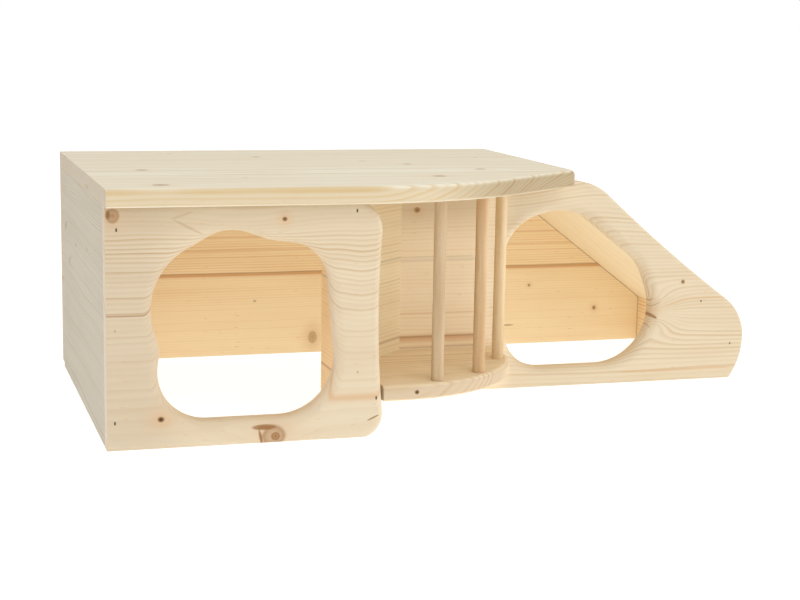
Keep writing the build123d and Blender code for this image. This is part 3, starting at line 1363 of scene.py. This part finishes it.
def all_brads() -> tuple[Brads, ...]:
    """The brads that show, in a piece for each face and each state of the steel."""
    left = ((8.5, 169.0), (6.0, 21.8), (193.6, 180.4), (211.0, 31.6))
    filled = ((6.7, 92.6), (195.5, 53.0))
    right = ((564.2, 73.5), (596.0, 32.5))
    back = ((7.0, 30.0), (7.0, 95.0), (7.0, 165.0), (591.0, 14.0), (591.0, 42.0))
    return (
        Brads("brads_left_front", 0.0, -1.0, left),
        Brads("brads_left_filled", 0.0, -1.0, filled, half_length=0.8, steel=FILLED_STEEL),
        Brads("brads_right_front", 143.0, -1.0, right, half_length=0.9, steel=RUSTY_STEEL),
        Brads("brads_back", 335.0, 1.0, back),
    )


@dataclass(frozen=True)
class Lamp:
    """Round soft box of the studio, with white light.

    Attributes:
        name: Its name.
        place: Where it stands.
        aim: The point that it faces.
        width: Its width, in metres.
        power: Its power, in watts.
    """

    name: str
    place: Point
    aim: Point
    width: float
    power: float

    def build(self) -> None:
        """Set up the lamp."""
        light = bpy.data.lights.new(self.name, "AREA")
        light.shape = "DISK"
        light.size = self.width
        light.energy = self.power
        lamp = added(self.name, light)
        lamp.location = placed(self.place)
        lamp.rotation_euler = (placed(self.aim) - lamp.location).to_track_quat("-Z", "Y").to_euler()


@dataclass
class Studio:
    """Camera, soft light and a pale floor.

    Attributes:
        eye: Where the camera stands.
        yaw: How far it turns to the right, in degrees.
        pitch: How far it looks down, in degrees.
        roll: How far it leans, in degrees.
        focal_length: Focal length in pixels of the image.
        ambient: Strength of the light from all round.
        floor_half: Half the floor's width, in metres.
        floor_gap: How far the floor lies under the object, in mm.
        floor_grey: Colour in which the floor gives back light.
        floor_glow: How strongly the floor, a light table, shines on the object.
        floor_shown: How strongly it shows to the eye under the object.
        floor_fade: Distances from the object over which it turns to plain white, in metres.
        lamps: The soft boxes.
    """

    eye: Point = (-149.4, -1240.9, 329.7)
    yaw: float = 16.968
    pitch: float = 9.641
    roll: float = -1.017
    focal_length: float = 1677.34
    ambient: float = 0.14
    floor_half: float = 6.0
    floor_gap: float = 0.2
    floor_grey: Colour = (0.42, 0.42, 0.42)
    floor_glow: float = 0.95
    floor_shown: float = 0.86
    floor_fade: tuple[float, float] = (0.4, 1.0)
    lamps: tuple[Lamp, ...] = (
        Lamp("key_high", (100, -1500, 2600), (300, 150, 60), width=2.4, power=26.0),
        Lamp("key_low", (1100, -1750, 1500), (330, 150, 90), width=2.0, power=14.5),
        Lamp("fill_right", (3200, -630, 500), (330, 150, 90), width=2.0, power=38.0),
        Lamp("fill_left", (-2450, -650, 650), (100, 150, 90), width=2.0, power=24.5),
        Lamp("top", (300, 500, 2200), (300, 200, 0), width=1.8, power=16.5),
    )

    def build(self) -> None:
        """Set up the camera, the lamps, the world and the floor."""
        self.add_camera()
        for lamp in self.lamps:
            lamp.build()
        self.light_world()
        self.lay_floor()
        bpy.context.scene.view_settings.view_transform = "Standard"

    def add_camera(self) -> None:
        """Stand the camera where the photograph was taken from."""
        yaw, pitch, roll = (math.radians(angle) for angle in (self.yaw, self.pitch, self.roll))
        level = math.cos(pitch)
        ahead = Vector((math.sin(yaw) * level, math.cos(yaw) * level, -math.sin(pitch)))
        right = Vector((math.cos(yaw), -math.sin(yaw), 0.0))
        down = ahead.cross(right)
        image_right = right * math.cos(roll) + down * math.sin(roll)
        image_up = right * math.sin(roll) - down * math.cos(roll)
        data = bpy.data.cameras.new("camera")
        data.sensor_fit = "HORIZONTAL"
        data.lens = self.focal_length * data.sensor_width / IMAGE_WIDTH
        camera = added("camera", data)
        turn = Matrix((image_right, image_up, -ahead)).transposed()
        camera.matrix_world = Matrix.Translation(placed(self.eye)) @ turn.to_4x4()
        bpy.context.scene.camera = camera

    def seen(self, sheet: Sheet) -> Signal:
        """1 for rays from the camera, direct or by way of a gloss or glass, and 0 for the rest."""
        camera = sheet.node("ShaderNodeLightPath", {}, {}, output="Is Camera Ray")
        outputs = camera.socket.node.outputs
        gloss = Signal(sheet, outputs["Is Glossy Ray"])
        glass = Signal(sheet, outputs["Is Transmission Ray"])
        return (camera + gloss + glass).math("MINIMUM", 1.0)

    def light_world(self) -> None:
        """Light from all round, with a white background behind the object."""
        world = bpy.data.worlds.new("studio")
        world.use_nodes = True
        bpy.context.scene.world = world
        sheet = Sheet(world.node_tree)
        light, backdrop = (
            sheet.node("ShaderNodeBackground", {}, {"Color": WHITE, "Strength": strength})
            for strength in (self.ambient, 1.0)
        )
        mixed = sheet.node("ShaderNodeMixShader", {}, {0: self.seen(sheet), 1: light, 2: backdrop})
        sheet.close("ShaderNodeOutputWorld", mixed)

    def lay_floor(self) -> None:
        """Lay a pale floor that shows white and keeps the object's shadow."""
        reach = self.floor_half
        mesh = bmesh.new()
        corners = [(-reach, -reach), (reach, -reach), (reach, reach), (-reach, reach)]
        mesh.faces.new([mesh.verts.new((x, y, -self.floor_gap * MM)) for x, y in corners])
        floor = meshed("floor", mesh)
        shader = Shader("floor_paper")
        sheen = shader.node("ShaderNodeBsdfDiffuse", {}, {"Color": self.floor_grey})
        glow, near, far = (
            shader.node("ShaderNodeEmission", {}, {"Color": WHITE, "Strength": strength})
            for strength in (self.floor_glow, self.floor_shown, 1.0)
        )
        spot = shader.node("ShaderNodeTexCoord", {}, {}, output="Object", kind=Place)
        away = spot.along(spot).root().rise(*self.floor_fade)
        shown = shader.node("ShaderNodeMixShader", {}, {0: away, 1: near, 2: far})
        mixed = shader.node("ShaderNodeMixShader", {}, {0: self.seen(shader), 1: glow, 2: shown})
        table = shader.node("ShaderNodeAddShader", {}, {0: sheen, 1: mixed})
        shader.close("ShaderNodeOutputMaterial", table)
        floor.data.materials.append(shader.material)


def main() -> None:
    """Dress the hideout and set up the studio."""
    logging.basicConfig(level=logging.INFO, format="%(name)s: %(message)s")
    for assembly in (LargeHouse(), LowHouse(), HayRack()):
        for board in assembly.build():
            LOG.info("dressed %s", board.name)
    for brads in all_brads():
        LOG.info("made %s", brads.build().name)
    Studio().build()


if __name__ == "__main__":
    main()
